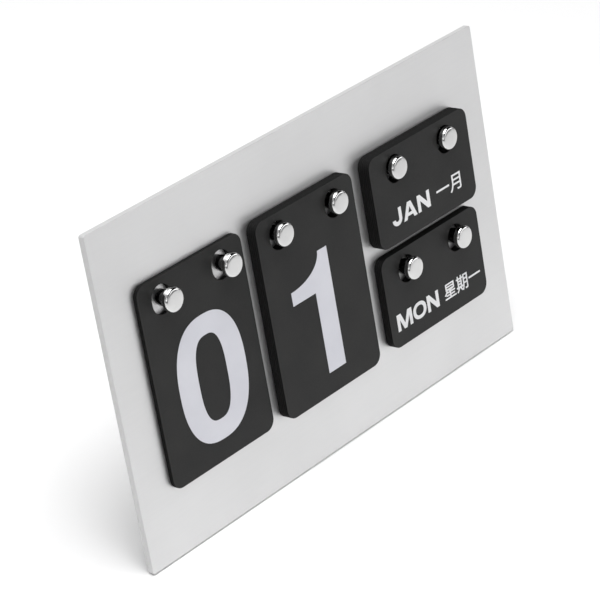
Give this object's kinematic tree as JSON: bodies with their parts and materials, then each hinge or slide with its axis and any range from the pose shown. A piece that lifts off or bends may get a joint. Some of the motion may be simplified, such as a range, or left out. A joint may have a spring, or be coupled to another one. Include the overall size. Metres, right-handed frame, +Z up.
{
  "type": "flip desk calendar",
  "caption": "Leaning metal plate with stacks of day, month and weekday cards hung on domed posts, a keyhole strip behind it and a plug-in rod bail that props it up.",
  "frame": {"origin": "under the middle of the whole object, on the table it stands on", "axes": "+X along the plate to the right as seen from the front, +Y to the rear, +Z up; the plate leans 14.26 degrees back"},
  "size_m": [0.25, 0.0472, 0.1471],
  "materials": {
    "plate_aluminium": "satin, fine grain",
    "rail_aluminium": "satin",
    "chrome": "polished",
    "card_black": "matte",
    "card_print": "matte screen print"
  },
  "bodies": {
    "frame": {"back_plate": "plate_aluminium", "tens_post_left": "chrome", "tens_post_head_left": "chrome", "tens_post_right": "chrome", "tens_post_head_right": "chrome", "ones_post_left": "chrome", "ones_post_head_left": "chrome", "ones_post_right": "chrome", "ones_post_head_right": "chrome", "month_post_left": "chrome", "month_post_head_left": "chrome", "month_post_right": "chrome", "month_post_head_right": "chrome", "weekday_post_left": "chrome", "weekday_post_head_left": "chrome", "weekday_post_right": "chrome", "weekday_post_head_right": "chrome", "hanging_rail": "rail_aluminium", "rail_spacer_left": "rail_aluminium", "rail_spacer_right": "rail_aluminium", "bail_socket_left": "chrome", "bail_socket_right": "chrome"},
    "bail": {"bail_rod": "chrome"},
    "tens_card_2": {"tens_card_2": "card_black"},
    "tens_card_1": {"tens_card_1": "card_black"},
    "ones_card_5": {"ones_card_5": "card_black"},
    "ones_card_4": {"ones_card_4": "card_black"},
    "ones_card_3": {"ones_card_3": "card_black"},
    "ones_card_2": {"ones_card_2": "card_black"},
    "ones_card_1": {"ones_card_1": "card_black"},
    "month_card_6": {"month_card_6": "card_black"},
    "month_card_5": {"month_card_5": "card_black"},
    "month_card_4": {"month_card_4": "card_black"},
    "month_card_3": {"month_card_3": "card_black"},
    "month_card_2": {"month_card_2": "card_black"},
    "month_card_1": {"month_card_1": "card_black"},
    "weekday_card_4": {"weekday_card_4": "card_black"},
    "weekday_card_3": {"weekday_card_3": "card_black"},
    "weekday_card_2": {"weekday_card_2": "card_black"},
    "weekday_card_1": {"weekday_card_1": "card_black"}
  },
  "joints": [
    {"name": "bail_pull", "type": "slide", "parent": "frame", "child": "bail", "axis": [0, 0.9692, -0.2463], "range_m": [0, 0.0077]},
    {"name": "tens_card_2_pull", "type": "slide", "parent": "frame", "child": "tens_card_2", "axis": [0, -0.9692, 0.2463], "range_m": [0, 0.0104]},
    {"name": "tens_card_1_pull", "type": "slide", "parent": "tens_card_2", "child": "tens_card_1", "axis": [0, -0.9692, 0.2463], "range_m": [0, 0.00935]},
    {"name": "ones_card_5_pull", "type": "slide", "parent": "frame", "child": "ones_card_5", "axis": [0, -0.9692, 0.2463], "range_m": [0, 0.0104]},
    {"name": "ones_card_4_pull", "type": "slide", "parent": "ones_card_5", "child": "ones_card_4", "axis": [0, -0.9692, 0.2463], "range_m": [0, 0.00935]},
    {"name": "ones_card_3_pull", "type": "slide", "parent": "ones_card_4", "child": "ones_card_3", "axis": [0, -0.9692, 0.2463], "range_m": [0, 0.0083]},
    {"name": "ones_card_2_pull", "type": "slide", "parent": "ones_card_3", "child": "ones_card_2", "axis": [0, -0.9692, 0.2463], "range_m": [0, 0.00725]},
    {"name": "ones_card_1_pull", "type": "slide", "parent": "ones_card_2", "child": "ones_card_1", "axis": [0, -0.9692, 0.2463], "range_m": [0, 0.0062]},
    {"name": "month_card_6_pull", "type": "slide", "parent": "frame", "child": "month_card_6", "axis": [0, -0.9692, 0.2463], "range_m": [0, 0.0104]},
    {"name": "month_card_5_pull", "type": "slide", "parent": "month_card_6", "child": "month_card_5", "axis": [0, -0.9692, 0.2463], "range_m": [0, 0.00935]},
    {"name": "month_card_4_pull", "type": "slide", "parent": "month_card_5", "child": "month_card_4", "axis": [0, -0.9692, 0.2463], "range_m": [0, 0.0083]},
    {"name": "month_card_3_pull", "type": "slide", "parent": "month_card_4", "child": "month_card_3", "axis": [0, -0.9692, 0.2463], "range_m": [0, 0.00725]},
    {"name": "month_card_2_pull", "type": "slide", "parent": "month_card_3", "child": "month_card_2", "axis": [0, -0.9692, 0.2463], "range_m": [0, 0.0062]},
    {"name": "month_card_1_pull", "type": "slide", "parent": "month_card_2", "child": "month_card_1", "axis": [0, -0.9692, 0.2463], "range_m": [0, 0.00515]},
    {"name": "weekday_card_4_pull", "type": "slide", "parent": "frame", "child": "weekday_card_4", "axis": [0, -0.9692, 0.2463], "range_m": [0, 0.0104]},
    {"name": "weekday_card_3_pull", "type": "slide", "parent": "weekday_card_4", "child": "weekday_card_3", "axis": [0, -0.9692, 0.2463], "range_m": [0, 0.00935]},
    {"name": "weekday_card_2_pull", "type": "slide", "parent": "weekday_card_3", "child": "weekday_card_2", "axis": [0, -0.9692, 0.2463], "range_m": [0, 0.0083]},
    {"name": "weekday_card_1_pull", "type": "slide", "parent": "weekday_card_2", "child": "weekday_card_1", "axis": [0, -0.9692, 0.2463], "range_m": [0, 0.00725]}
  ]
}
